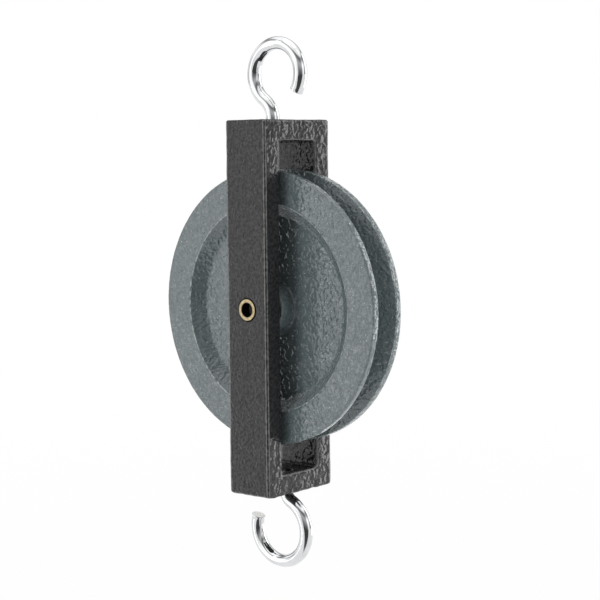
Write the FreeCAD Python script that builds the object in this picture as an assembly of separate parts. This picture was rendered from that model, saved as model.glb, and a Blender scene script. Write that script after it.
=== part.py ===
import FreeCAD, Part
import math
import os

# A demonstration pulley: a grooved cast wheel on an axle in a slotted block, with a wire hook at each end.
# Millimetres. X is the wheel's axis, Y runs through the slot, Z is up.
# The origin is the seat of the top hook, where the whole pulley hangs.

os.makedirs("parts", exist_ok=True)
vector = FreeCAD.Vector

# Wheel: rim, recessed web and hub
wheel_radius = 50.0
rim_width = 15.8
rim_face = 11.8            # radial width of the flat ring on each side of the rim
rim_edge = 0.5
web_thickness = 6.6
web_slope = 4.6            # radial run of the cone that drops from the rim's flat ring to the web
hub_end_radius = 9.6
hub_base_radius = 10.3
hub_edge = 0.5

# Groove for the cord, with straight flanks and one round root
groove_width = 10.0
groove_depth = 7.0
groove_angle = 46.0        # between the two flanks
groove_edge = 0.5

# Block: two legs beside the wheel and two end walls
leg_thickness = 7.6
end_wall = 7.4
frame_depth = 18.8
rim_side_gap = 2.2         # from the rim to each leg
cord_gap = 10.4            # from the rim to each end wall
slot_corner = 2.0
slot_edge = 0.5
frame_edge = 0.9

# Axle, pressed into the wheel and running in two brass bushes
axle_radius = 2.5
running_clearance = 0.04
axle_recess = 3.4          # how far each end stays inside its bush
axle_chamfer = 0.4
bush_wall = 1.5
bush_stand = 0.45          # the bush stands out of the leg towards the hub and takes its thrust
hub_play = 0.3
bush_chamfer = 0.25

# Hooks, bent from one round wire
wire_radius = 2.5
shank_offset = 2.2         # the shank enters the block this far off its middle
shank_recess = 0.6         # the shank stops short of the slot
shank_chamfer = 0.5
tip_chamfer = 0.4
top_ring_radius = 11.1
top_ring_rise = 16.5       # from the block's end to the middle of the ring
top_tip_angle = 34.0       # how far the tip passes the ring's middle, towards the block
bottom_ring_radius = 12.0
bottom_ring_rise = 15.2
bottom_tip_angle = 18.0

# How near two values are when they count as the same
touching = 1e-3

# Sizes that follow from those above
slot_width = rim_width + 2 * rim_side_gap
slot_height = 2 * (wheel_radius + cord_gap)
frame_width = slot_width + 2 * leg_thickness
frame_height = slot_height + 2 * end_wall
hub_length = slot_width - 2 * (bush_stand + hub_play)
bush_bore = axle_radius + running_clearance
bush_radius = bush_bore + bush_wall
axle_length = frame_width - 2 * axle_recess
frame_top = -(top_ring_rise + top_ring_radius - wire_radius)
axle_height = frame_top - frame_height / 2
frame_bottom = frame_top - frame_height


def rounded_wire(corners, place):
    """Join corners (a, b, fillet radius) into a closed wire; place turns a and b into a point."""
    edges = []
    ends = []
    count = len(corners)
    for index in range(count):
        before = place(*corners[index - 1][:2])
        corner = place(*corners[index][:2])
        after = place(*corners[(index + 1) % count][:2])
        radius = corners[index][2]
        into = (before - corner).normalize()
        out = (after - corner).normalize()
        half = into.getAngle(out) / 2
        if radius == 0:
            ends.append((corner, corner))
            continue
        start = corner + into * (radius / math.tan(half))
        end = corner + out * (radius / math.tan(half))
        to_centre = (into + out).normalize()
        middle = corner + to_centre * (radius / math.sin(half) - radius)
        edges.append(Part.Arc(start, middle, end).toShape())
        ends.append((start, end))
    for index in range(count):
        line_start = ends[index - 1][1]
        line_end = ends[index][0]
        if line_start.distanceToPoint(line_end) > touching:
            edges.append(Part.LineSegment(line_start, line_end).toShape())
    return Part.Wire(Part.__sortEdges__(edges))


def mirrored_corners(half):
    """Complete a profile that is the same on both sides of its middle."""
    return half + [(-a, b, radius) for a, b, radius in reversed(half)]


def x_cylinder(radius, length, start):
    return Part.makeCylinder(radius, length, vector(start, 0, axle_height), vector(1, 0, 0))


def make_wheel():
    """Spin the wheel's section round the axle."""
    rim_inner = wheel_radius - rim_face
    web_outer = rim_inner - web_slope
    # The flanks would meet in a point; an arc that touches both of them stops at the groove's depth
    flank = math.radians(groove_angle / 2)
    flank_meeting = groove_width / 2 / math.tan(flank)
    root_radius = (flank_meeting - groove_depth) * math.sin(flank) / (1 - math.sin(flank))
    half_section = [
        (groove_width / 2 - groove_edge * math.tan(flank), wheel_radius - groove_edge, 0),
        (groove_width / 2 + groove_edge, wheel_radius, 0),
        (rim_width / 2 - rim_edge, wheel_radius, 0),
        (rim_width / 2, wheel_radius - rim_edge, 0),
        (rim_width / 2, rim_inner, 0),
        (web_thickness / 2, web_outer, 0),
        (web_thickness / 2, hub_base_radius, 0),
        (hub_length / 2 - hub_edge, hub_end_radius, 0),
        (hub_length / 2, hub_end_radius - hub_edge, 0),
        (hub_length / 2, axle_radius, 0),
    ]
    groove_root = [(0, wheel_radius - flank_meeting, root_radius)]
    section = rounded_wire(
        groove_root + mirrored_corners(half_section),
        lambda x, radius: vector(x, 0, axle_height + radius),
    )
    return Part.Face(section).revolve(vector(0, 0, axle_height), vector(1, 0, 0), 360)


def slot_mouth_edges(block):
    """Find the edges where the slot opens in the block's front and back."""
    edges = []
    for edge in block.Edges:
        box = edge.BoundBox
        at_mouth = abs(abs(box.Center.y) - frame_depth / 2) < touching and box.YLength < touching
        in_slot = (
            max(abs(box.XMin), abs(box.XMax)) < slot_width / 2 + touching
            and box.ZMax - axle_height < slot_height / 2 + touching
            and axle_height - box.ZMin < slot_height / 2 + touching
        )
        if at_mouth and in_slot:
            edges.append(edge)
    return edges


def shank_place(side):
    """The point where a hook's shank enters the block; side is 1 on top and -1 below."""
    return vector(0, side * shank_offset, frame_top if side > 0 else frame_bottom)


def make_frame():
    """Cut the slot, the bush holes and the hook holes out of a rounded block."""
    corner = vector(-frame_width / 2, -frame_depth / 2, frame_bottom)
    block = Part.makeBox(frame_width, frame_depth, frame_height, corner)
    block = block.makeFillet(frame_edge, block.Edges)
    half_width = slot_width / 2
    half_height = slot_height / 2
    slot_corners = [
        (x, z, slot_corner)
        for x, z in (
            (-half_width, -half_height),
            (half_width, -half_height),
            (half_width, half_height),
            (-half_width, half_height),
        )
    ]
    outline = rounded_wire(slot_corners, lambda x, z: vector(x, -frame_depth, axle_height + z))
    block = block.cut(Part.Face(outline).extrude(vector(0, 2 * frame_depth, 0)))
    block = block.makeChamfer(slot_edge, slot_mouth_edges(block))
    block = block.cut(x_cylinder(bush_radius, 2 * frame_width, -frame_width))
    for side in (1, -1):
        hole = Part.makeCylinder(wire_radius, end_wall, shank_place(side), vector(0, 0, -side))
        block = block.cut(hole)
    return block


def ends_of(shape, axis_value):
    """The round edges that lie in the plane x = axis_value."""
    return [
        edge
        for edge in shape.Edges
        if abs(edge.BoundBox.XMin - axis_value) < touching and abs(edge.BoundBox.XMax - axis_value) < touching
    ]


def make_axle():
    axle = x_cylinder(axle_radius, axle_length, -axle_length / 2)
    rims = ends_of(axle, -axle_length / 2) + ends_of(axle, axle_length / 2)
    return axle.makeChamfer(axle_chamfer, rims)


def make_bush(side):
    """A plain sleeve, flush outside the leg; side is -1 on the near leg and 1 on the far one."""
    length = leg_thickness + bush_stand
    outer_end = frame_width / 2
    start = outer_end - length if side > 0 else -outer_end
    sleeve = x_cylinder(bush_radius, length, start).cut(x_cylinder(bush_bore, length, start))
    return sleeve.makeChamfer(bush_chamfer, ends_of(sleeve, start + length if side < 0 else start))


def wire_bend(centre, start, turn):
    """A round wire bent about an axis along X, from the point start on its centre line."""
    tangent = vector(1, 0, 0).cross(start - centre)
    section = Part.Face(Part.Wire(Part.makeCircle(wire_radius, start, tangent)))
    return section.revolve(centre, vector(1, 0, 0), turn)


def make_hook(ring_radius, ring_rise, tip_angle):
    """Shank, neck bend and open ring, standing on the plane z = 0."""
    # The neck starts upright at the shank and meets the ring where both run the same way
    neck_radius = (shank_offset**2 + ring_rise**2 - ring_radius**2) / (2 * (ring_radius - shank_offset))
    neck_centre = vector(0, shank_offset + neck_radius, 0)
    ring_centre = vector(0, 0, ring_rise)
    to_ring = (ring_centre - neck_centre).normalize()
    meeting = neck_centre + to_ring * neck_radius
    neck_turn = math.degrees(math.asin(to_ring.z))
    tip_turn = math.radians(180 + tip_angle)
    tip = ring_centre + vector(0, math.cos(tip_turn), math.sin(tip_turn)) * ring_radius

    shank_length = end_wall - shank_recess
    shank = Part.makeCylinder(wire_radius, shank_length, vector(0, shank_offset, -shank_length))
    shank_end = [edge for edge in shank.Edges if edge.BoundBox.ZMax < -shank_length + touching]
    shank = shank.makeChamfer(shank_chamfer, shank_end)
    neck = wire_bend(neck_centre, vector(0, shank_offset, 0), -neck_turn)
    ring = wire_bend(ring_centre, meeting, 180 + neck_turn + tip_angle)
    tip_edge = [edge for edge in ring.Edges if edge.BoundBox.Center.distanceToPoint(tip) < touching]
    ring = ring.makeChamfer(tip_chamfer, tip_edge)
    return shank.fuse([neck, ring])


def make_top_hook():
    hook = make_hook(top_ring_radius, top_ring_rise, top_tip_angle)
    return hook.translate(vector(0, 0, frame_top))


def make_bottom_hook():
    """Turned over about X, so its wire leaves the block on the other side."""
    hook = make_hook(bottom_ring_radius, bottom_ring_rise, bottom_tip_angle)
    hook.rotate(vector(0, 0, 0), vector(1, 0, 0), 180)
    return hook.translate(vector(0, 0, frame_bottom))


parts = {
    "frame": make_frame(),
    "wheel": make_wheel(),
    "axle": make_axle(),
    "near_bush": make_bush(-1),
    "far_bush": make_bush(1),
    "top_hook": make_top_hook(),
    "bottom_hook": make_bottom_hook(),
}

for name, shape in parts.items():
    box = shape.BoundBox
    print(name, "solids", len(shape.Solids), "valid", shape.isValid(), "volume", round(shape.Volume, 1))
    print("    x", round(box.XMin, 2), round(box.XMax, 2), "y", round(box.YMin, 2), round(box.YMax, 2))
    print("    z", round(box.ZMin, 2), round(box.ZMax, 2))
    shape.exportStep("parts/" + name + ".step")
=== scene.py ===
import math
import bpy
import bmesh
from mathutils import Matrix, Vector, noise


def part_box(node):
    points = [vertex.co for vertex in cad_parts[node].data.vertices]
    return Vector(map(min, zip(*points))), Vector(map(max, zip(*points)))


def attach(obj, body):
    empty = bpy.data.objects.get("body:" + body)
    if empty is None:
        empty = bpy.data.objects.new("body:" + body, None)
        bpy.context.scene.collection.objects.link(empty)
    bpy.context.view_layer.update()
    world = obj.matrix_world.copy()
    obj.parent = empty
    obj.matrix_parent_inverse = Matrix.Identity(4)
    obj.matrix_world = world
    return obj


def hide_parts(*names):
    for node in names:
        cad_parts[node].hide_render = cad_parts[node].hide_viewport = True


# A demonstration pulley: a painted block, a grooved painted wheel on an oiled axle, two brass bushes and
# two bright wire hooks. Sizes in the dictionaries are millimetres unless a note says otherwise.

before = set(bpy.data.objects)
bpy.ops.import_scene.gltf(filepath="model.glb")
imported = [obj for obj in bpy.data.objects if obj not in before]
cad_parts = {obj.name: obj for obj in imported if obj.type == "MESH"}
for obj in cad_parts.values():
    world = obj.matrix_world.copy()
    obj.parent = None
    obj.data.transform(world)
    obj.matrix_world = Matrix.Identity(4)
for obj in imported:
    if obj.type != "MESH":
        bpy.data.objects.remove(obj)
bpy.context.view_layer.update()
mm = 0.001
frameLow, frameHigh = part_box("frame")
wheelLow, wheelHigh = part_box("wheel")
axleHeight = (wheelLow.z + wheelHigh.z) / 2
print("packed model loaded")


# helpers for shaders

class Field:
    # one output socket; sums and products of fields add Math nodes
    def __init__(self, finish, socket):
        self.finish = finish
        self.socket = socket

    def math(self, operation, *values):
        return self.finish.node("Math", {"operation": operation}, dict(enumerate(values)))

    def __add__(self, other):
        return self.math("ADD", self, other)

    def __sub__(self, other):
        return self.math("SUBTRACT", self, other)

    def __rsub__(self, other):
        return self.math("SUBTRACT", other, self)

    def __mul__(self, other):
        return self.math("MULTIPLY", self, other)

    __radd__ = __add__
    __rmul__ = __mul__


class Finish:
    # a material or the world, and the one way nodes are added to it
    def __init__(self, owner):
        self.owner = owner
        owner.use_nodes = True
        self.tree = owner.node_tree
        self.tree.nodes.clear()

    def node(self, kind, settings=None, sockets=None, output=0):
        made = self.tree.nodes.new("ShaderNode" + kind)
        for name, value in (settings or {}).items():
            setattr(made, name, value)
        for name, value in (sockets or {}).items():
            if isinstance(value, Field):
                self.tree.links.new(value.socket, made.inputs[name])
            else:
                made.inputs[name].default_value = value
        return Field(self, made.outputs[output])

    def mix(self, factor, first, second):
        # the Mix node's colours go in at 6 and 7 and come out at 2
        settings = {"data_type": "RGBA", "clamp_factor": True}
        return self.node("Mix", settings, {0: factor, 6: first, 7: second}, 2)

    def smooth(self, value, start, end, low=0.0, high=1.0):
        # value's way from start to end becomes low to high, with soft ends
        sockets = {0: value, 1: start, 2: end, 3: low, 4: high}
        return self.node("MapRange", {"interpolation_type": "SMOOTHSTEP"}, sockets)

    def attribute(self, name):
        # a value that the mesh carries at its vertices
        return self.node("Attribute", {"attribute_name": name}, {}, "Fac")

    def rays(self, kind):
        # 1 where the light path is of this kind, 0 elsewhere
        return self.node("LightPath", output="Is " + kind + " Ray")

    def place(self, centre=(0, 0, 0)):
        # object coordinates in millimetres from centre
        coords = self.node("TexCoord", output="Object")
        shift = self.node("VectorMath", {"operation": "SUBTRACT"}, {0: coords, 1: centre})
        return self.node("VectorMath", {"operation": "MULTIPLY"}, {0: shift, 1: (1 / mm, 1 / mm, 1 / mm)})

    def dot(self, coords, direction):
        return self.node("VectorMath", {"operation": "DOT_PRODUCT"}, {0: coords, 1: direction}, "Value")

    def length(self, coords):
        return self.node("VectorMath", {"operation": "LENGTH"}, {0: coords}, "Value")

    def fromAxle(self, coords):
        # how far a point is from the axle's line, where coords start on that line
        flat = self.node("VectorMath", {"operation": "MULTIPLY"}, {0: coords, 1: (0, 1, 1)})
        return self.length(flat)

    def noise(self, coords, scale, detail, roughness=0.5, distortion=0.0):
        return self.node("TexNoise", {}, {
            "Vector": coords, "Scale": scale, "Detail": detail, "Roughness": roughness,
            "Distortion": distortion,
        })

    def grey(self, level):
        return self.node("CombineColor", {}, {0: level, 1: level, 2: level})

    def surface(self, base, rough, height, relief, constants):
        # relief is how many millimetres a height of 1 stands for
        bump = self.node("Bump", {}, {"Height": height, "Strength": 1.0, "Distance": relief * mm})
        sockets = {"Base Color": base, "Roughness": rough, "Normal": bump}
        self.close("OutputMaterial", self.node("BsdfPrincipled", {}, {**constants, **sockets}))
        return self.owner

    def close(self, kind, shader):
        out = self.tree.nodes.new("ShaderNode" + kind)
        self.tree.links.new(shader.socket, out.inputs["Surface"])


def linear(value):
    # one channel of a screen colour, 0 to 255, in the shader's own scale: a straight line up to 11 and
    # a curve above it
    if value < 11:
        return value / 255 / 12.92
    return ((value / 255 + 0.055) / 1.055) ** 2.4


def colour(red, green, blue):
    return linear(red), linear(green), linear(blue), 1.0


# helpers for meshes

samePoint = 1e-6    # metres within which two vertices count as one


def upTo1(value):
    return max(0.0, min(1.0, value))


def waves(point, layers):
    # a height from layers of noise, each with its strength, scale and shift
    return sum(
        strength * noise.noise(point * scale + Vector(shift)) for strength, scale, shift in layers)


def only(kind, items):
    return [item for item in items if isinstance(item, kind)]


def roundOff(bm, geom, radius, segments, affect="EDGES"):
    bmesh.ops.bevel(
        bm, geom=geom, offset=radius * mm, segments=segments, profile=0.5, affect=affect, material=-1)


def turnRound(bm, steps):
    # spin a section once round the axle's line
    bmesh.ops.spin(
        bm, geom=list(bm.verts) + list(bm.edges), cent=(0, 0, axleHeight), axis=(1, 0, 0),
        angle=2 * math.pi, steps=steps, use_merge=True)
    bmesh.ops.remove_doubles(bm, verts=bm.verts, dist=samePoint)


def asPiece(bm, name):
    bmesh.ops.recalc_face_normals(bm, faces=bm.faces)
    for face in bm.faces:
        face.smooth = True
    mesh = bpy.data.meshes.new(name)
    bm.to_mesh(mesh)
    bm.free()
    piece = bpy.data.objects.new(name, mesh)
    bpy.context.scene.collection.objects.link(piece)
    return piece


def withModifiers(piece):
    # the piece's mesh with its modifiers worked in
    bpy.context.view_layer.update()
    graph = bpy.context.evaluated_depsgraph_get()
    mesh = bpy.data.meshes.new_from_object(piece.evaluated_get(graph))
    piece.modifiers.clear()
    piece.data = mesh
    return mesh


def divide(bm, spacing):
    # split every edge into parts of about this length
    for edge in list(bm.edges):
        cuts = int(edge.calc_length() / spacing)
        if cuts:
            bmesh.ops.subdivide_edges(bm, edges=[edge], cuts=cuts)


def rod(name, radius, start, end):
    # a plain round cutter along the line from start to end
    bm = bmesh.new()
    line = end - start
    turn = line.to_track_quat("Z", "Y").to_matrix().to_4x4()
    bmesh.ops.create_cone(
        bm, cap_ends=True, segments=96, radius1=radius, radius2=radius, depth=line.length,
        matrix=Matrix.Translation((start + end) / 2) @ turn)
    return asPiece(bm, name)


# the camera, where the photograph was taken from

cameraLook = {
    "place": (-0.4351, -0.3848, -0.0364),                # metres
    "yaw": 49.256, "pitch": 5.343, "roll": 0.543,        # degrees
    "lens": 95.55,
}


def makeCamera():
    yaw = math.radians(cameraLook["yaw"])
    pitch = math.radians(cameraLook["pitch"])
    roll = math.radians(cameraLook["roll"])
    ahead = Vector((math.cos(pitch) * math.sin(yaw), math.cos(pitch) * math.cos(yaw), -math.sin(pitch)))
    right = Vector((math.cos(yaw), -math.sin(yaw), 0))
    down = ahead.cross(right)
    rolledRight = right * math.cos(roll) + down * math.sin(roll)
    rolledDown = down * math.cos(roll) - right * math.sin(roll)
    data = bpy.data.cameras.new("camera")
    data.lens = cameraLook["lens"]
    data.sensor_width = 36
    data.clip_start = 0.02
    data.clip_end = 60
    camera = bpy.data.objects.new("camera", data)
    turn = Matrix((rolledRight, -rolledDown, -ahead)).transposed().to_4x4()
    camera.matrix_world = Matrix.Translation(cameraLook["place"]) @ turn
    bpy.context.scene.collection.objects.link(camera)
    bpy.context.scene.camera = camera


makeCamera()
print("camera set")


# the block

block = {
    "slotWidth": 20.2, "slotHeight": 120.8, "upperCorner": 1.0, "lowerCorner": 2.0, "slotEdge": 0.55,
    "outerEdge": 0.7, "lowerEdge": 1.4,
    "cornerSegments": 5, "slotSegments": 3, "outerSegments": 4,
    "boreRadius": 4.1, "shankRadius": 2.55, "shankOffset": 2.2,
    "voxel": 0.45,
    # height of the paint's waves, and their noise scales across and along the block
    "ripple": 0.03, "rippleAcross": 0.5, "rippleAlong": 0.4,
    # how uneven the casting is: layers of noise with their strength, scale and shift
    "wobble": [(0.16, 0.17, (9, 4, 2))],
    # how far paint has gathered along the lowest edges, how high up, and the scale and height of the
    # slice of noise that makes it uneven
    "drips": 0.24, "dripHeight": 4, "dripScale": 0.33, "dripSlice": 6,
    # how far the paint stays below the bush's face, out to what radius, and over what length it rises
    "boreSink": 0.16, "sinkRadius": 7.0, "sinkFade": 2.6,
    # how far from an edge the paint is thin and the edge carries a painted highlight, how much narrower
    # the lines beside an upright edge are, and how far into the slot its edge counts
    "wearAndHighlightReach": 2.0, "lineSharpness": 1.6, "slotReach": 1.2,
    "slotWaves": 0.6,    # how much of the side's waves the slot's own sides get
}


def fromSlot(x, z):
    # how far a point of the block's front is from the slot's rounded outline, with z from the slot's middle
    corner = block["upperCorner"] if z > 0 else block["lowerCorner"]
    across = abs(x) - block["slotWidth"] / 2 + corner
    along = abs(z) - block["slotHeight"] / 2 + corner
    return abs(math.hypot(max(across, 0), max(along, 0)) + min(max(across, along), 0) - corner)


def makeBlock():
    size = frameHigh - frameLow
    middle = (frameHigh + frameLow) / 2
    bm = bmesh.new()
    upright = Matrix.Rotation(math.pi / 2, 4, "X")
    bmesh.ops.create_grid(bm, x_segments=1, y_segments=1, size=0.5, matrix=upright)
    bmesh.ops.scale(bm, vec=(size.x, 1, size.z), verts=bm.verts)
    outerVerts = list(bm.verts)
    wall = 7 * mm    # only a start: the inner corners go to their own places below
    bmesh.ops.inset_region(bm, faces=bm.faces, thickness=wall, use_boundary=True, use_even_offset=True)
    innerVerts = [vert for vert in bm.verts if vert not in outerVerts]
    for vert in innerVerts:
        vert.co.x = math.copysign(block["slotWidth"] * mm / 2, vert.co.x)
        vert.co.z = math.copysign(block["slotHeight"] * mm / 2, vert.co.z)
    opening = [face for face in bm.faces if all(vert in innerVerts for vert in face.verts)]
    bmesh.ops.delete(bm, geom=opening, context="FACES")
    made = bmesh.ops.extrude_face_region(bm, geom=list(bm.faces))
    bmesh.ops.translate(bm, vec=(0, size.y, 0), verts=only(bmesh.types.BMVert, made["geom"]))
    bmesh.ops.translate(bm, vec=middle - Vector((0, size.y / 2, 0)), verts=bm.verts)
    bmesh.ops.recalc_face_normals(bm, faces=bm.faces)

    def inSlot(edge):
        across = max(abs(vert.co.x) for vert in edge.verts)
        along = max(abs(vert.co.z - middle.z) for vert in edge.verts)
        return across < size.x / 2 - mm and along < size.z / 2 - mm

    def alongY(edge):
        return abs(edge.verts[0].co.y - edge.verts[1].co.y) > mm

    def isLow(edge):
        return edge.verts[0].co.z < middle.z

    def isCorner(edge):
        least = 0.5    # radians between its two faces
        return len(edge.link_faces) == 2 and edge.calc_face_angle() > least

    highCorners = [e for e in bm.edges if inSlot(e) and alongY(e) and not isLow(e)]
    roundOff(bm, highCorners, block["upperCorner"], block["cornerSegments"])
    lowCorners = [e for e in bm.edges if inSlot(e) and alongY(e) and isLow(e)]
    roundOff(bm, lowCorners, block["lowerCorner"], block["cornerSegments"])
    slotMouths = [e for e in bm.edges if inSlot(e) and not alongY(e) and isCorner(e)]
    roundOff(bm, slotMouths, block["slotEdge"], block["slotSegments"])
    lowEdges = [e for e in bm.edges if not inSlot(e) and alongY(e) and isCorner(e) and isLow(e)]
    roundOff(bm, lowEdges, block["lowerEdge"], block["cornerSegments"])
    outerEdges = [e for e in bm.edges if not inSlot(e) and isCorner(e)]
    roundOff(bm, outerEdges, block["outerEdge"], block["outerSegments"])
    piece = asPiece(bm, "painted_block")

    # bores for the bushes and the hooks' wires, then an even skin to carry the paint's waves
    far = size.x
    offset = block["shankOffset"] * mm
    reach = 10 * mm
    left, right = Vector((-far, 0, axleHeight)), Vector((far, 0, axleHeight))
    cutters = [rod("boreCut", block["boreRadius"] * mm, left, right)]
    for name, y, z in (("topCut", offset, frameHigh.z), ("lowCut", -offset, frameLow.z)):
        radius = block["shankRadius"] * mm
        cutters.append(rod(name, radius, Vector((0, y, z - reach)), Vector((0, y, z + reach))))
    for cutter in cutters:
        cut = piece.modifiers.new("cut", "BOOLEAN")
        cut.object = cutter
        cut.operation = "DIFFERENCE"
        cut.solver = "EXACT"
    skin = piece.modifiers.new("skin", "REMESH")
    skin.mode = "VOXEL"
    skin.voxel_size = block["voxel"] * mm
    mesh = withModifiers(piece)
    for cutter in cutters:
        bpy.data.objects.remove(cutter)

    bm = bmesh.new()
    bm.from_mesh(mesh)
    bmesh.ops.recalc_face_normals(bm, faces=bm.faces)
    bm.normal_update()
    edgeLayer = bm.verts.layers.float.new("edgeNearness")
    sideLayer = bm.verts.layers.float.new("side")
    half = size / mm / 2
    bySeat, onSide = 0.6, 0.7    # how far a normal leans to X round the bush and on the sides
    outerSkin = 3    # deeper than this is the slot's own side, 7.6 in from the block's side
    for vert in bm.verts:
        point = vert.co / mm
        across, along = block["rippleAcross"], block["rippleAlong"]
        lift = block["ripple"] * noise.noise(Vector((point.x * across, point.y * across, point.z * along)))
        lift += waves(point, block["wobble"])
        low = max(0.0, 1 - (point.z - frameLow.z / mm) / block["dripHeight"])
        flat = Vector((point.x * block["dripScale"], point.y * block["dripScale"], block["dripSlice"]))
        lift += block["drips"] * low * noise.noise(flat)
        fromBore = math.hypot(point.y, point.z - axleHeight / mm)
        near = upTo1((block["sinkRadius"] - fromBore) / block["sinkFade"])
        near = near * near * (3 - 2 * near)
        if abs(vert.normal.x) > bySeat:
            lift = lift * (1 - near) - block["boreSink"] * near
        # paint is thin, with a painted highlight, in two lines where an upright edge's round begins and
        # ends, and all over the slot's edge
        fromSide = half.x - abs(point.x)
        fromFront = half.y - abs(point.y)
        nearest = abs(max(fromSide, fromFront) - block["outerEdge"]) * block["lineSharpness"]
        if fromFront < block["slotReach"]:
            nearest = min(nearest, fromSlot(point.x, point.z - middle.z / mm))
        vert[edgeLayer] = max(0.0, 1 - nearest / block["wearAndHighlightReach"])
        if abs(vert.normal.x) > onSide:
            vert[sideLayer] = 1.0 if fromSide < outerSkin else block["slotWaves"]
        vert.co += vert.normal * (lift * mm)
    skinned = asPiece(bm, "painted_block_skin")
    piece.data = skinned.data
    bpy.data.objects.remove(skinned)
    return piece


blockPiece = makeBlock()
print("block made,", len(blockPiece.data.polygons), "faces")


# the wheel

wheel = {
    "radius": 50.0, "rimWidth": 15.8, "rimFace": 11.8, "rimEdge": 0.6, "faceEdge": 0.5,
    "webThickness": 6.6, "webSlope": 4.6, "webRound": 0.9,
    "hubLength": 18.7, "hubEnd": 9.6, "hubBase": 10.3, "hubRound": 0.6,
    "grooveWidth": 10.0, "grooveDepth": 7.0, "grooveAngle": 46.0, "grooveEdge": 0.5,
    "bore": 2.5, "boreEdge": 0.2,
    "spacing": 0.78, "steps": 370, "rootSegments": 14, "edgeSegments": 5,
    # height of the paint's waves on the rim and on the web
    "ripple": 0.05, "webRipple": 0.085,
    # layers of noise with their strength, scale and shift
    "rimWaves": [(1, 0.62, (0, 0, 0)), (0.6, 0.2, (3, 8, 1))],
    "webWaves": [(1, 0.5, (7, 1, 5)), (0.5, 0.24, (0, 0, 0))],
    # the web's waves start this far inside the rim's flat ring and this far from the axle, and grow
    # to their full height over these lengths
    "webInside": 1, "webGrowth": 4, "hubRadius": 5, "hubGrowth": 3,
    # the turned bore and ends of the hub have no waves
    "turnedRadius": 4, "turnedDepth": 0.1,
    "wearAndHighlightReach": 1.2,    # how far from an edge the paint is thin and a highlight is painted
}


def makeWheel():
    flank = math.radians(wheel["grooveAngle"] / 2)
    meeting = wheel["grooveWidth"] / 2 / math.tan(flank)
    rootRadius = (meeting - wheel["grooveDepth"]) * math.sin(flank) / (1 - math.sin(flank))
    rimInner = wheel["radius"] - wheel["rimFace"]
    # half of the section: distance from the middle, distance from the axle, how far the corner is rounded
    half = [
        (wheel["grooveWidth"] / 2, wheel["radius"], wheel["grooveEdge"]),
        (wheel["rimWidth"] / 2, wheel["radius"], wheel["rimEdge"]),
        (wheel["rimWidth"] / 2, rimInner, wheel["faceEdge"]),
        (wheel["webThickness"] / 2, rimInner - wheel["webSlope"], wheel["webRound"]),
        (wheel["webThickness"] / 2, wheel["hubBase"], wheel["hubRound"]),
        (wheel["hubLength"] / 2, wheel["hubEnd"], wheel["hubRound"]),
        (wheel["hubLength"] / 2, wheel["bore"], wheel["boreEdge"]),
    ]
    corners = [(0, wheel["radius"] - meeting, rootRadius / math.tan(flank))]
    corners += half + [(-x, r, fillet) for x, r, fillet in reversed(half)]
    bm = bmesh.new()
    verts = [bm.verts.new((x * mm, 0, axleHeight + r * mm)) for x, r, fillet in corners]
    bm.faces.new(verts)
    for vert, (x, r, fillet) in zip(verts, corners):
        segments = wheel["rootSegments"] if x == 0 else wheel["edgeSegments"]
        roundOff(bm, [vert], fillet, segments, "VERTICES")
    bmesh.ops.delete(bm, geom=list(bm.faces), context="FACES_ONLY")
    divide(bm, wheel["spacing"] * mm)
    turnRound(bm, wheel["steps"])
    bmesh.ops.recalc_face_normals(bm, faces=bm.faces)
    bm.normal_update()
    edgeLayer = bm.verts.layers.float.new("edgeNearness")
    # edges with thin paint and a painted highlight, as distance from the axle and from the middle
    edges = (
        (wheel["radius"], wheel["rimWidth"] / 2),
        (wheel["radius"], wheel["grooveWidth"] / 2),
        (rimInner, wheel["rimWidth"] / 2),
    )
    for vert in bm.verts:
        point = Vector((vert.co.x, vert.co.y, vert.co.z - axleHeight)) / mm
        fromAxle = math.hypot(point.y, point.z)
        inWeb = upTo1((rimInner - wheel["webInside"] - fromAxle) / wheel["webGrowth"])
        inWeb *= upTo1((fromAxle - wheel["hubRadius"]) / wheel["hubGrowth"])
        lift = wheel["ripple"] * waves(point, wheel["rimWaves"]) * (1 - inWeb)
        lift += wheel["webRipple"] * waves(point, wheel["webWaves"]) * inWeb
        atEnd = abs(point.x) > wheel["hubLength"] / 2 - wheel["turnedDepth"]
        if atEnd or fromAxle < wheel["turnedRadius"]:
            lift = 0
        toEdge = min(math.hypot(fromAxle - r, abs(point.x) - x) for r, x in edges)
        vert[edgeLayer] = max(0.0, 1 - toEdge / wheel["wearAndHighlightReach"])
        vert.co += vert.normal * (lift * mm)
    return asPiece(bm, "painted_wheel")


wheelPiece = makeWheel()
print("wheel made,", len(wheelPiece.data.polygons), "faces")


# the hooks

hooks = {
    "wire": 2.5, "offset": 2.2, "shank": 6.8,
    "top": {"ring": 11.1, "rise": 16.5, "tip": 34.0},
    "bottom": {"ring": 12.0, "rise": 15.2, "tip": 18.0},
    "around": 64, "shankSteps": 10, "step": 0.7, "tipSegments": 2,
    "tipRound": 0.14, "burr": 0.1, "sawnInset": 0.1,
    # height of the wire's waves, and their layers of noise with strength, scale and shift
    "ripple": 0.012, "waves": [(1, 0.16, (0, 0, 0)), (0.35, 0.5, (0, 0, 0))],
}


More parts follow.
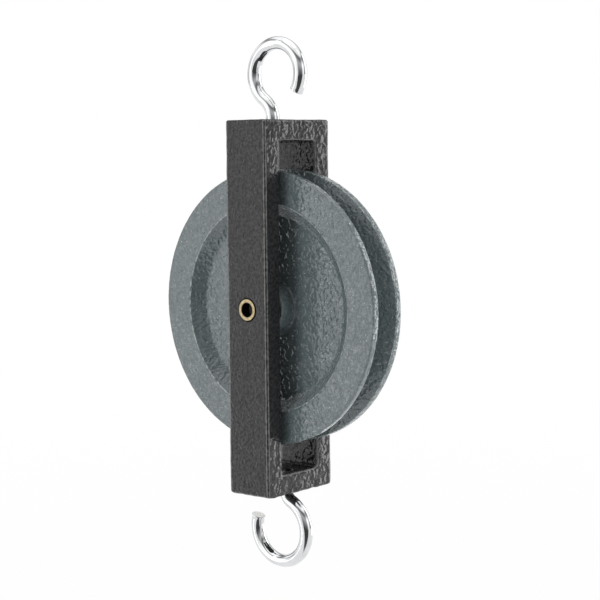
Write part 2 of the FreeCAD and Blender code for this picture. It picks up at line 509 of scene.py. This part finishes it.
def makeHook(name, look, foot, flip):
    wire = hooks["wire"] * mm
    offset = hooks["offset"] * mm
    ring = look["ring"] * mm
    rise = look["rise"] * mm
    neck = (offset**2 + rise**2 - ring**2) / (2 * (ring - offset))
    neckCentre = Vector((0, offset + neck, 0))
    ringCentre = Vector((0, 0, rise))
    neckTurn = math.asin((ringCentre - neckCentre).normalized().z)
    ringTurn = math.pi + neckTurn + math.radians(look["tip"])
    step = hooks["step"] * mm

    bm = bmesh.new()
    sawnLayer = bm.verts.layers.float.new("sawn")
    start = Matrix.Translation((0, offset, -hooks["shank"] * mm))
    bmesh.ops.create_circle(bm, cap_ends=True, segments=hooks["around"], radius=wire, matrix=start)
    rim = list(bm.edges)

    def sweep(centre, angle, length):
        steps = max(2, round(length / step))
        made = bmesh.ops.spin(bm, geom=rim, cent=centre, axis=(1, 0, 0), angle=angle, steps=steps)
        return only(bmesh.types.BMEdge, made["geom_last"])

    lift = (0, 0, hooks["shank"] * mm / hooks["shankSteps"])
    for _ in range(hooks["shankSteps"]):
        made = bmesh.ops.extrude_edge_only(bm, edges=rim)
        rim = only(bmesh.types.BMEdge, made["geom"])
        bmesh.ops.translate(bm, vec=lift, verts=only(bmesh.types.BMVert, made["geom"]))
    rim = sweep(neckCentre, -neckTurn, neck * neckTurn)
    rim = sweep(ringCentre, ringTurn, ring * ringTurn)
    tip = sum((vert.co for edge in rim for vert in edge.verts), Vector()) / (2 * len(rim))
    for vert in {vert for edge in rim for vert in edge.verts}:
        vert.co += (vert.co - tip).normalized() * hooks["burr"] * mm
    bmesh.ops.edgeloop_fill(bm, edges=rim)
    roundOff(bm, rim, hooks["tipRound"], hooks["tipSegments"])
    caps = [face for face in bm.faces if len(face.verts) > 4]
    sawn = [face for face in caps if (face.calc_center_median() - tip).length < mm]
    bmesh.ops.inset_region(bm, faces=sawn, thickness=hooks["sawnInset"] * mm)
    for vert in {vert for face in sawn for vert in face.verts}:
        vert[sawnLayer] = 1.0
    bmesh.ops.remove_doubles(bm, verts=bm.verts, dist=samePoint)
    bmesh.ops.recalc_face_normals(bm, faces=bm.faces)
    bm.normal_update()
    for vert in bm.verts:
        vert.co += vert.normal * (hooks["ripple"] * waves(vert.co / mm, hooks["waves"]) * mm)
    if flip:
        bmesh.ops.rotate(bm, cent=(0, 0, 0), matrix=Matrix.Rotation(math.pi, 3, "X"), verts=bm.verts)
    bmesh.ops.translate(bm, vec=(0, 0, foot), verts=bm.verts)
    return asPiece(bm, name)


topHook = makeHook("bright_top_hook", hooks["top"], frameHigh.z, False)
bottomHook = makeHook("bright_bottom_hook", hooks["bottom"], frameLow.z, True)
print("hooks made")


# the bushes

bush = {
    "bore": 2.54, "outer": 4.04, "length": 8.05, "lip": 0.28,
    "lipSegments": 4, "spacing": 1.5, "steps": 96,
}


def makeBush(name, side):
    face = side * frameHigh.x
    inside = face - side * bush["length"] * mm
    bm = bmesh.new()
    bore, outer = bush["bore"], bush["outer"]
    corners = [(face, bore), (face, outer), (inside, outer), (inside, bore)]
    verts = [bm.verts.new((x, 0, axleHeight + r * mm)) for x, r in corners]
    bm.faces.new(verts)
    roundOff(bm, verts, bush["lip"], bush["lipSegments"], "VERTICES")
    bmesh.ops.delete(bm, geom=list(bm.faces), context="FACES_ONLY")
    divide(bm, bush["spacing"] * mm)
    turnRound(bm, bush["steps"])
    return asPiece(bm, name)


nearBush = makeBush("brass_near_bush", -1)
farBush = makeBush("brass_far_bush", 1)
print("bushes made")


# paints and metals: colours are 0 to 255, a noise is its scale, detail, roughness and distortion, and a
# span is where a value's change starts and ends, with the values there when they aren't 0 and 1

charcoal = {
    # the pale edge colour is partly worn paint and partly a painted highlight
    "pool": (48, 48, 49), "ridge": (33, 33, 34), "wearAndHighlight": (132, 132, 130),
    "broadNoise": (0.5, 0.0, 0.5, 0.7), "frontHeight": 0.33, "broadOnSide": 0.03,
    "closeNoise": (0.85, 0.0, 0.5, 0.4), "sideHeight": 0.42,
    "grainNoise": (5.0, 1.0), "grainHeight": 0.006,
    "patchNoise": (0.06, 3.0),
    "poolSpan": (0.36, 0.62), "patchSpan": (0.35, 0.75, 0.0, 0.35),
    "wearAndHighlightSpan": (0.72, 0.94, 0.0, 0.65), "wearAndHighlightRaggedness": 0.15,
    "roughSpan": (0.3, 0.7, 0.11, 0.18),
    "ior": 1.32,
}


def charcoalPaint():
    finish = Finish(bpy.data.materials.new("charcoal hammered paint"))
    coords = finish.place()
    ridge = colour(*charcoal["ridge"])
    side = finish.attribute("side")
    broad = finish.noise(coords, *charcoal["broadNoise"])
    close = finish.noise(coords, *charcoal["closeNoise"])
    grain = finish.noise(coords, *charcoal["grainNoise"])
    height = broad * finish.smooth(side, 0, 1, charcoal["frontHeight"], charcoal["broadOnSide"])
    height = height + close * (side * charcoal["sideHeight"]) + grain * charcoal["grainHeight"]
    patches = finish.noise(coords, *charcoal["patchNoise"])
    base = finish.mix(finish.smooth(close, *charcoal["poolSpan"]), ridge, colour(*charcoal["pool"]))
    base = finish.mix(finish.smooth(patches, *charcoal["patchSpan"]), base, ridge)
    # pale edges: paint worn thin there, and a painted highlight along the rounded edges
    edge = finish.attribute("edgeNearness")
    wearAndHighlight = finish.smooth(edge + (close - 0.5) * charcoal["wearAndHighlightRaggedness"], *charcoal["wearAndHighlightSpan"])
    base = finish.mix(wearAndHighlight, base, colour(*charcoal["wearAndHighlight"]))
    rough = finish.smooth(grain, *charcoal["roughSpan"])
    return finish.surface(base, rough, height, 1.0, {"IOR": charcoal["ior"]})


slate = {
    # the pale edge colour is partly worn paint and partly a painted highlight
    "pool": (95, 105, 106), "ridge": (84, 94, 97), "wearAndHighlight": (164, 170, 170), "paintedGlint": (190, 196, 196),
    "webSpan": (37.5, 33.0),    # millimetres from the axle
    "waveNoise": (0.7, 0.0, 0.5, 0.6), "rimHeight": 0.36, "webHeight": 0.46,
    "fineNoise": (1.9, 1.5, 0.55), "fineHeight": 0.02,
    "patchNoise": (0.07, 3.0),
    "fineShare": 0.45, "waveShare": 0.35, "patchShare": 0.2, "poolSpan": (0.38, 0.62),
    "wearAndHighlightSpan": (0.76, 0.92, 0.0, 0.75), "wearAndHighlightRaggedness": 0.25,
    "glintNoise": (2.6, 0.0), "glintSpan": (0.81, 0.85),
    "roughSpan": (0.3, 0.7, 0.09, 0.15),
    "ior": 1.53,
}


def slatePaint():
    finish = Finish(bpy.data.materials.new("slate hammered paint"))
    coords = finish.place((0, 0, axleHeight))
    web = finish.smooth(finish.fromAxle(coords), *slate["webSpan"])
    wave = finish.noise(coords, *slate["waveNoise"])
    fine = finish.noise(coords, *slate["fineNoise"])
    height = wave * finish.smooth(web, 0.0, 1.0, slate["rimHeight"], slate["webHeight"])
    height = height + fine * slate["fineHeight"]
    patches = finish.noise(coords, *slate["patchNoise"])
    tone = fine * slate["fineShare"] + wave * slate["waveShare"] + patches * slate["patchShare"]
    pooled = finish.smooth(tone, *slate["poolSpan"])
    base = finish.mix(pooled, colour(*slate["ridge"]), colour(*slate["pool"]))
    # pale edges: paint worn thin there, and a painted highlight along the rounded edges
    edge = finish.attribute("edgeNearness")
    wearAndHighlight = finish.smooth(edge + (wave - 0.5) * slate["wearAndHighlightRaggedness"], *slate["wearAndHighlightSpan"])
    base = finish.mix(wearAndHighlight, base, colour(*slate["wearAndHighlight"]))
    # painted glints: sparse pale specks in the paint's colour that stand in for sparkle
    paintedGlint = finish.smooth(finish.noise(coords, *slate["glintNoise"]), *slate["glintSpan"])
    base = finish.mix(paintedGlint, base, colour(*slate["paintedGlint"]))
    rough = finish.smooth(fine, *slate["roughSpan"])
    return finish.surface(base, rough, height, 1.0, {"IOR": slate["ior"]})


chrome = {
    "bright": (188, 189, 190), "dull": (180, 181, 182), "sawn": (214, 214, 211),
    "cloudNoise": (0.35, 3.0), "cloudSpan": (0.35, 0.7),
    "drawnNoise": (1.4, 2.0), "relief": 0.004,
    "roughSpan": (0.3, 0.7, 0.05, 0.12), "sawnRoughness": 0.35,
}


def chromePlate():
    finish = Finish(bpy.data.materials.new("bright plate"))
    coords = finish.place()
    cloud = finish.smooth(finish.noise(coords, *chrome["cloudNoise"]), *chrome["cloudSpan"])
    drawn = finish.noise(coords, *chrome["drawnNoise"])
    base = finish.mix(cloud, colour(*chrome["bright"]), colour(*chrome["dull"]))
    sawn = finish.attribute("sawn")
    base = finish.mix(sawn, base, colour(*chrome["sawn"]))
    rough = finish.smooth(drawn, *chrome["roughSpan"]) + sawn * chrome["sawnRoughness"]
    return finish.surface(base, rough, drawn, chrome["relief"], {"Metallic": 1.0})


brass = {
    # the bore colour is painted shade inside the bush's hole; the darkest colour, at the bush's outer edge,
    # is painted shade with some grime where the bush meets the block
    "clean": (148, 137, 108), "stained": (130, 114, 86), "bore": (62, 56, 50), "jointShadeAndGrime": (30, 27, 24),
    "boreShadeSpan": (2.85, 2.6), "jointShadeAndGrimeSpan": (3.7, 3.95),    # millimetres from the axle
    "stainNoise": (0.9, 3.0), "stainSpan": (0.4, 0.7),
    "ringNoise": (6.0, 1.0), "ringSlant": 0.3, "relief": 0.01,
    "ringShare": 0.6, "stainShare": 0.4, "roughSpan": (0.3, 0.7, 0.28, 0.42),
}


def turnedBrass():
    finish = Finish(bpy.data.materials.new("turned brass"))
    coords = finish.place((0, 0, axleHeight))
    fromAxle = finish.fromAxle(coords)
    outwards = finish.node("CombineXYZ", {}, {0: fromAxle, 1: fromAxle * brass["ringSlant"]})
    rings = finish.noise(outwards, *brass["ringNoise"])
    stain = finish.noise(coords, *brass["stainNoise"])
    stained = finish.smooth(stain, *brass["stainSpan"])
    base = finish.mix(stained, colour(*brass["clean"]), colour(*brass["stained"]))
    # painted shade: darker in the bore, and darker still round the outer edge where the bush meets the
    # block, partly grime there
    base = finish.mix(finish.smooth(fromAxle, *brass["boreShadeSpan"]), base, colour(*brass["bore"]))
    base = finish.mix(finish.smooth(fromAxle, *brass["jointShadeAndGrimeSpan"]), base, colour(*brass["jointShadeAndGrime"]))
    mixed = rings * brass["ringShare"] + stain * brass["stainShare"]
    rough = finish.smooth(mixed, *brass["roughSpan"])
    return finish.surface(base, rough, rings, brass["relief"], {"Metallic": 1.0})


steel = {
    "oiled": (60, 59, 58), "bare": (80, 78, 76), "metallic": 0.4,
    "filmNoise": (0.8, 3.0), "filmSpan": (0.4, 0.7), "relief": 0.01,
    "roughSpan": (0.3, 0.7, 0.3, 0.45),
}


def oiledSteel():
    finish = Finish(bpy.data.materials.new("oiled steel"))
    film = finish.noise(finish.place(), *steel["filmNoise"])
    thin = finish.smooth(film, *steel["filmSpan"])
    base = finish.mix(thin, colour(*steel["oiled"]), colour(*steel["bare"]))
    rough = finish.smooth(film, *steel["roughSpan"])
    return finish.surface(base, rough, film, steel["relief"], {"Metallic": steel["metallic"]})


def dress(piece, material, body, slot, *nodes):
    piece.data.materials.clear()
    piece.data.materials.append(material)
    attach(piece, body)
    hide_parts(*nodes)


paintedBlock = charcoalPaint()
paintedWheel = slatePaint()
plate = chromePlate()
brassMetal = turnedBrass()
dress(blockPiece, paintedBlock, "block", "frame_paint", "frame")
dress(wheelPiece, paintedWheel, "wheel_set", "wheel_paint", "wheel")
dress(topHook, plate, "block", "hook_chrome", "top_hook")
dress(bottomHook, plate, "block", "hook_chrome", "bottom_hook")
dress(nearBush, brassMetal, "block", "bush_brass", "near_bush")
dress(farBush, brassMetal, "block", "bush_brass", "far_bush")
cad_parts["axle"].data.materials.clear()
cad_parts["axle"].data.materials.append(oiledSteel())
print("finishes on")


# studio: two tall strips and two tall panels round the pulley, a panel above it, a white floor, and a room
# of bright and dark bands that shows only where a piece mirrors it

studio = {
    "centre": (0, 0, -0.093), "distance": 1.2,       # metres
    "topHeight": 1.3, "topSize": 0.8, "topBrightness": 1.5,
    "cameraSide": -40.7,    # degrees, as in room: where the photograph was taken from, the room's dark side
    # the floor: its height, its half width and the distances over which its glow becomes full, in metres
    "floor": -0.5, "floorReach": 20, "floorGlow": 0.975, "glowSpan": (0.9, 2.5), "floorColour": 0.9,
    # the floor as it is mirrored: bright, but dark in a wedge towards the camera
    "mirroredFloor": 1.5, "mirroredWedge": 0.09, "wedgeWidth": 1.2, "wedgeSpan": (0.15, 0.35),
    # how bright the mirrored room is: low down, higher up, under the roof and overhead, with the heights
    # where it changes, as the sine of the angle above level
    "dark": 0.19, "upper": 0.8, "upperSpan": (0.0, 0.4),
    "underRoof": 0.3, "underRoofSpan": (0.6, 0.35), "above": 1.4, "aboveSpan": (0.62, 0.78),
    "bandEdge": 2,          # degrees over which a band's sides fade
    # how much the room lights the left side and the right side
    "fill": 0.25, "backFill": 0.55, "fillSpan": (0.4, -0.4),
}

# bright bands of the mirrored room: from and to, in degrees from -X towards +Y, with how bright
room = [
    (-9, 3, 0.8), (3, 21, 1.5), (21, 34, 1.7), (43, 58, 1.5), (58, 70, 0.25), (70, 90, 1.3), (90, 102, 0.25),
    (102, 181, 0.75), (-181, -163, 0.75), (-144, -126, 0.65), (-126, -110, 0.25), (-110, -102, 0.9),
    (-102, -84, 1.6), (-84, -73, 0.8),
]

# each lamp: degrees from -X towards +Y, how far it reaches each side of that, its lowest and highest degrees
# and its brightness
lamps = {
    "left strip": (12, 9, -20, 40, 5.0),
    "left panel": (38.5, 4.5, -35, 40, 2.5),
    "right strip": (-93.4, 9, -20, 40, 5.0),
    "right panel": (-153.5, 9.5, -35, 40, 4.0),
}


def flatDirection(degrees):
    # 0 looks out along -X, 90 along +Y
    angle = math.radians(degrees)
    return Vector((-math.cos(angle), math.sin(angle), 0.0))


def addLamp(name, place, aim, width, height, brightness):
    data = bpy.data.lights.new(name, "AREA")
    data.shape = "RECTANGLE"
    data.size = width
    data.size_y = height
    data.energy = brightness * math.pi * width * height
    lamp = bpy.data.objects.new(name, data)
    lamp.visible_camera = False
    lamp.visible_glossy = "strip" not in name  # the room's own bright bands stand where the strips are
    lamp.matrix_world = Matrix.Translation(place) @ aim.to_track_quat("Z", "Y").to_matrix().to_4x4()
    bpy.context.scene.collection.objects.link(lamp)


def makeLamps():
    centre = Vector(studio["centre"])
    far = studio["distance"]
    for name, (degrees, reach, lowest, highest, brightness) in lamps.items():
        low, high = far * math.tan(math.radians(lowest)), far * math.tan(math.radians(highest))
        aim = flatDirection(degrees)
        place = centre + aim * far + Vector((0, 0, (low + high) / 2))
        addLamp(name, place, aim, 2 * far * math.tan(math.radians(reach)), high - low, brightness)
    up = Vector((0, 0, 1))
    width = studio["topSize"]
    addLamp("top panel", centre + up * studio["topHeight"], up, width, width, studio["topBrightness"])


def makeFloor():
    bm = bmesh.new()
    level = Matrix.Translation((0, 0, studio["floor"]))
    bmesh.ops.create_grid(bm, x_segments=1, y_segments=1, size=studio["floorReach"], matrix=level)
    floor = asPiece(bm, "floor")
    finish = Finish(bpy.data.materials.new("white floor"))
    camera = finish.rays("Camera")
    mirrored = finish.rays("Glossy") + finish.rays("Transmission")
    coords = finish.node("TexCoord", output="Object")
    towards = finish.dot(coords, flatDirection(studio["cameraSide"]))
    across = finish.dot(coords, flatDirection(studio["cameraSide"] + 90))
    inWedge = towards - across.math("ABSOLUTE", across) * studio["wedgeWidth"]
    wedge = finish.smooth(inWedge, *studio["wedgeSpan"], studio["mirroredFloor"], studio["mirroredWedge"])
    glow = finish.smooth(finish.length(coords), *studio["glowSpan"], studio["floorGlow"], 1.0)
    white = studio["floorColour"]
    matt = finish.node("BsdfDiffuse", {}, {"Color": (white, white, white, 1)})
    lit = finish.node("Emission", {}, {"Color": finish.grey(camera + mirrored * wedge), "Strength": 1.0})
    mixed = finish.node("MixShader", {}, {0: (camera + mirrored) * glow, 1: matt, 2: lit})
    finish.close("OutputMaterial", mixed)
    floor.data.materials.append(finish.owner)


def makeWorld():
    world = bpy.data.worlds.new("studio")
    bpy.context.scene.world = world
    finish = Finish(world)
    mirrored = finish.rays("Glossy") + finish.rays("Transmission")
    direction = finish.node("TexCoord", output="Generated")
    along = finish.dot(direction, (-1, 0, 0))
    across = finish.dot(direction, (0, 1, 0))
    high = finish.dot(direction, (0, 0, 1))
    degrees = across.math("ARCTAN2", across, along) * math.degrees(1)
    edge = studio["bandEdge"]
    level = finish.smooth(high, *studio["upperSpan"], studio["dark"], studio["upper"])
    for start, end, bright in room:
        started = finish.smooth(degrees, start - edge, start + edge)
        notEnded = finish.smooth(degrees, end + edge, end - edge)
        level = level + started * notEnded * bright
    level = level * finish.smooth(high, *studio["underRoofSpan"], studio["underRoof"])
    level = level + finish.smooth(high, *studio["aboveSpan"], 0.0, studio["above"])
    fill = finish.smooth(along, *studio["fillSpan"], studio["fill"], studio["backFill"])
    level = level * mirrored + fill * (1 - mirrored)
    lit = finish.node("Background", {}, {"Color": finish.grey(level), "Strength": 1.0})
    white = finish.node("Background", {}, {"Color": (1, 1, 1, 1), "Strength": 1.0})
    mixed = finish.node("MixShader", {}, {0: finish.rays("Camera"), 1: lit, 2: white})
    finish.close("OutputWorld", mixed)


makeLamps()
makeFloor()
makeWorld()
bpy.context.scene.view_settings.view_transform = "Standard"
print("studio lit")
